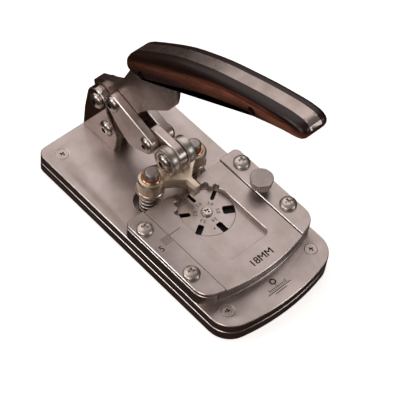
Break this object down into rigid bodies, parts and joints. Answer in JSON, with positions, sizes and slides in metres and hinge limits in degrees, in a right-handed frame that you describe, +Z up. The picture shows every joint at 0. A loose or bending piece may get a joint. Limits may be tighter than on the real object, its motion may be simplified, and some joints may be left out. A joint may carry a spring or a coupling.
{
  "type": "hole punch",
  "caption": "Bench strap punch with a long wooden-scaled handle, a pivoting linkage with rollers, a sprung press bridge and a slotted turning die disc in a sliding gauge plate.",
  "frame": {"origin": "centre of the footprint, on the plane the feet stand on", "axes": "+Z up; +Y towards the bracket, with the rounded front end at -Y; +X towards the side with the clamp knob"},
  "size_m": [0.08, 0.1554, 0.1487],
  "materials": {
    "plate": "satin",
    "lever": "satin",
    "bridge": "polished, warm",
    "bronze": "turned bronze",
    "screw": "polished",
    "wood": "oiled dark hardwood",
    "rubber": "matte"
  },
  "bodies": {
    "base": {"base_lower_plate": "plate", "base_top_plate": "plate", "foot_rear_left": "rubber", "foot_rear_right": "rubber", "foot_front_left": "rubber", "foot_front_right": "rubber", "base_screw_rear_left": "screw", "base_screw_rear_right": "screw", "base_screw_front_left": "screw", "base_screw_front_right": "screw", "die_block": "plate", "rail_left": "plate", "rail_right": "plate", "rail_screw_rear_left": "screw", "rail_screw_rear_right": "screw", "rail_screw_front_left": "screw", "rail_screw_front_right": "screw", "bracket_left": "lever", "bracket_right": "lever", "bracket_screw_rear_left": "screw", "bracket_screw_rear_right": "screw", "bracket_screw_front_left": "screw", "bracket_screw_front_right": "screw", "handle_pivot_sleeve": "screw", "handle_pivot_screw": "screw", "lever_pivot_sleeve": "screw", "lever_pivot_screw": "screw", "guide_post_left": "screw", "guide_post_right": "screw", "spring_left": "screw", "spring_right": "screw"},
    "handle": {"handle_tang": "lever", "liner_left": "lever", "liner_right": "lever", "scale_left": "wood", "scale_right": "wood", "scale_bolt_rear": "screw", "scale_bolt_front": "screw", "link_upper_sleeve": "screw", "link_upper_screw": "screw"},
    "links": {"link_left": "lever", "link_right": "lever"},
    "lever": {"press_lever": "lever", "link_lower_sleeve": "screw", "link_lower_screw": "screw", "roller_axle_sleeve": "screw", "roller_axle_screw": "screw", "roller_hub_left": "screw", "roller_hub_right": "screw"},
    "left_roller": {"roller_left": "screw"},
    "right_roller": {"roller_right": "screw"},
    "press_head": {"press_bridge": "bridge", "bushing_left": "bronze", "bushing_right": "bronze", "punch_blade": "screw"},
    "gauge": {"gauge_plate": "plate", "disc_screw": "screw"},
    "disc": {"die_disc": "plate"},
    "knob": {"clamp_knob": "screw"}
  },
  "joints": [
    {"name": "handle_press", "type": "hinge", "parent": "base", "child": "handle", "pos_m": [0, 0.0671, 0.0425], "axis": [1, 0, 0], "range_deg": [0, 18], "stiffness_Nm_per_rad": 2.2, "springref_deg": -6.88},
    {"name": "link_pivot", "type": "hinge", "parent": "handle", "child": "links", "pos_m": [0, 0.0547, 0.0508], "axis": [1, 0, 0], "range_deg": [-18, 0]},
    {"name": "lever_pivot", "type": "hinge", "parent": "base", "child": "lever", "pos_m": [0, 0.0583, 0.0273], "axis": [1, 0, 0], "range_deg": [0, 8.1]},
    {"name": "left_roller_spin", "type": "hinge", "parent": "lever", "child": "left_roller", "pos_m": [0, 0.0132, 0.0426], "axis": [1, 0, 0], "continuous": true},
    {"name": "right_roller_spin", "type": "hinge", "parent": "lever", "child": "right_roller", "pos_m": [0, 0.0132, 0.0426], "axis": [1, 0, 0], "continuous": true},
    {"name": "press_slide", "type": "slide", "parent": "base", "child": "press_head", "axis": [0, 0, 1], "range_m": [-0.0065, 0], "deforming": ["spring_left", "spring_right"]},
    {"name": "gauge_slide", "type": "slide", "parent": "base", "child": "gauge", "axis": [0, 1, 0], "range_m": [-0.005, 0]},
    {"name": "disc_turn", "type": "hinge", "parent": "gauge", "child": "disc", "pos_m": [0, -0.0138, 0.0193], "axis": [0, 0, 1], "continuous": true},
    {"name": "knob_turn", "type": "hinge", "parent": "base", "child": "knob", "pos_m": [0.0306, -0.0221, 0.0277], "axis": [0, 0, 1], "range_deg": [0, 180]}
  ],
  "couplings": [
    {"joint": "link_pivot", "follows": "handle_press", "ratio": -0.9625},
    {"joint": "lever_pivot", "follows": "handle_press", "ratio": 0.447},
    {"joint": "press_slide", "follows": "handle_press", "m_per_rad": -0.020573}
  ]
}
